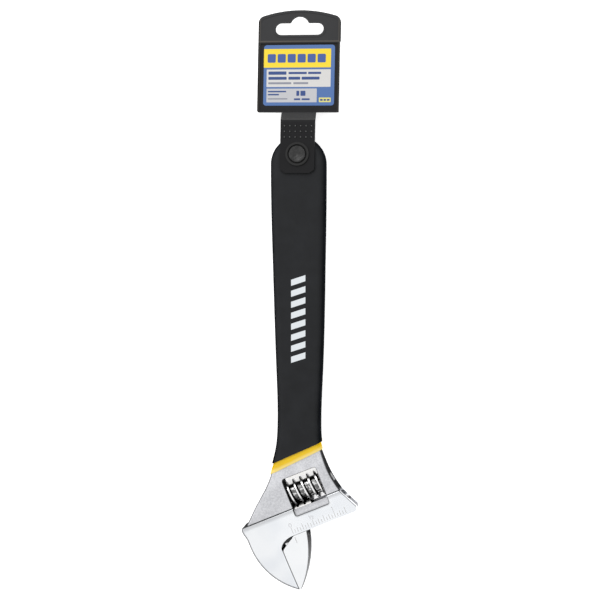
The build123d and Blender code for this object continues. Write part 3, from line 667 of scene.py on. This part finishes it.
def stroke(points, width):
    """Outline of a ribbon of this width along an open line, with mitred corners."""
    left, right = [], []
    for i, (x, y) in enumerate(points):
        before = points[max(i - 1, 0)]
        after = points[min(i + 1, len(points) - 1)]
        run = Vector((after[0] - before[0], after[1] - before[1])).normalized()
        side = Vector((-run.y, run.x)) * width / 2
        left.append((x + side.x, y + side.y))
        right.append((x - side.x, y - side.y))
    return left + right[::-1]


def ring(x, y, half_x, half_y, width, steps=24):
    """Two half rings that make a zero, as outlines."""
    halves = []
    for start in (math.pi / 2, -math.pi / 2):
        angles = [start + math.pi * step / (steps // 2) for step in range(steps // 2 + 1)]
        outer = [(x + half_x * math.cos(a), y + half_y * math.sin(a)) for a in angles]
        inner = [(x + (half_x - width) * math.cos(a), y + (half_y - width) * math.sin(a)) for a in angles]
        halves.append(outer + inner[::-1])
    return halves


def scale_numerals():
    """Numbers of the inch scale above its long marks: 0, a half and 1."""
    width = 0.26
    one = [(-0.35, 0.75), (0.05, 1.1), (0.05, -1.1)]
    two = [(-0.5, 0.6), (-0.35, 0.95), (0.0, 1.1), (0.4, 0.9), (0.45, 0.5), (0.1, -0.1), (-0.5, -1.05),
           (0.55, -1.05)]
    outlines = ring(SCALE_ZERO, NUMERAL_Y, 0.85, 1.15, width)

    def add(shape, x, y, size=1.0):
        outlines.append(stroke([(x + size * a, y + size * b) for a, b in shape], width))

    half_x = SCALE_ZERO + INCH / 2
    slash = [(half_x - 0.75, NUMERAL_Y - 1.1), (half_x + 0.35, NUMERAL_Y + 1.1)]
    add(one, half_x - 0.9, NUMERAL_Y + 0.35, 0.75)
    outlines.append(stroke(slash, width * 0.8))
    add(two, half_x + 0.75, NUMERAL_Y - 0.4, 0.7)
    add(one, SCALE_ZERO + INCH, NUMERAL_Y)
    ink = printed("scale_ink", (0.52, 0.52, 0.53))
    face = (FACE_Z - HEAD.z) / MM
    prisms("scale_numerals", outlines, head_point, face - NUMERAL_RISE, face + NUMERAL_RISE, ink, "frame")


label_panels()
label_print()
scale_numerals()


# --- floor, light and camera ----------------------------------------------------------------------
FLOOR_HALF = 3.0
FLOOR_GAP = 0.2 * MM
CAMERA_LEAN = math.radians(7.0)  # towards the side the jaw opens to
CAMERA_DISTANCE = 0.612
PICTURE_WIDTH = 0.3357  # seen at the wrench
PICTURE_MIDDLE = HEAD + Vector((11.05, 133.74, 0)) * MM
SENSOR_WIDTH = 36.0


def floor():
    """A table that gives light of its own, so that hardly a shadow shows from above."""
    mesh = bpy.data.meshes.new("floor")
    corners = [(FLOOR_HALF * x, FLOOR_HALF * y, 0) for x, y in ((-1, -1), (1, -1), (1, 1), (-1, 1))]
    mesh.from_pydata(corners, [], [(0, 1, 2, 3)])
    plane = bpy.data.objects.new("floor", mesh)
    plane.location.z = cad_box[0].z - FLOOR_GAP
    bpy.context.scene.collection.objects.link(plane)
    tree = Tree("floor")
    shade = tree.noise(60 * MM, 2.0)
    tree.surface(Base_Color=tree.blend(shade, grey(0.88), grey(0.9)), Roughness=0.7, Specular_IOR_Level=0.1,
                 Emission_Color=grey(1.0), Emission_Strength=0.7)
    mesh.materials.append(tree.material)


def soft_light(name, place, size, radiance):
    """A square soft box of this brightness, aimed at the wrench."""
    data = bpy.data.lights.new(name, "AREA")
    data.shape = "SQUARE"
    data.size = size
    data.energy = radiance * math.pi * size**2
    lamp = bpy.data.objects.new(name, data)
    lamp.location = place
    lamp.rotation_euler = (-Vector(place)).to_track_quat("-Z", "Y").to_euler()
    bpy.context.scene.collection.objects.link(lamp)


def world(strength):
    """Pale room, darker near the horizon."""
    made = bpy.data.worlds.new("room")
    made.use_nodes = True
    tree = made.node_tree
    tree.nodes.clear()
    out = tree.nodes.new("ShaderNodeOutputWorld")
    light = tree.nodes.new("ShaderNodeBackground")
    light.inputs["Strength"].default_value = strength
    split = tree.nodes.new("ShaderNodeSeparateXYZ")
    tree.links.new(tree.nodes.new("ShaderNodeTexCoord").outputs["Generated"], split.inputs[0])
    ramp = tree.nodes.new("ShaderNodeValToRGB")
    ramp.color_ramp.elements[0].position = 0.1
    ramp.color_ramp.elements[0].color = (0.14, 0.14, 0.145, 1)
    ramp.color_ramp.elements[1].position = 0.8
    ramp.color_ramp.elements[1].color = (1, 1, 1, 1)
    ramp.color_ramp.interpolation = "EASE"
    tree.links.new(split.outputs[2], ramp.inputs[0])
    tree.links.new(ramp.outputs[0], light.inputs[0])
    tree.links.new(light.outputs[0], out.inputs[0])
    bpy.context.scene.world = made


def camera():
    """Over the wrench, leaning a little to the side the jaw opens to."""
    data = bpy.data.cameras.new("camera")
    data.sensor_width = SENSOR_WIDTH
    data.lens = SENSOR_WIDTH * CAMERA_DISTANCE / PICTURE_WIDTH
    data.clip_start = 0.01
    data.clip_end = 20
    lens = bpy.data.objects.new("camera", data)
    upward = Vector((math.sin(CAMERA_LEAN), 0, math.cos(CAMERA_LEAN)))
    lens.location = PICTURE_MIDDLE + upward * CAMERA_DISTANCE
    lens.rotation_euler = (0, CAMERA_LEAN, 0)
    bpy.context.scene.collection.objects.link(lens)
    bpy.context.scene.camera = lens


floor()
world(1.0)
soft_light("key", (-0.3, 0.95, 0.75), 0.8, 2.2)
soft_light("fill", (-1.0, 0.0, 0.6), 0.6, 1.2)
camera()
bpy.context.scene.view_settings.view_transform = "Standard"
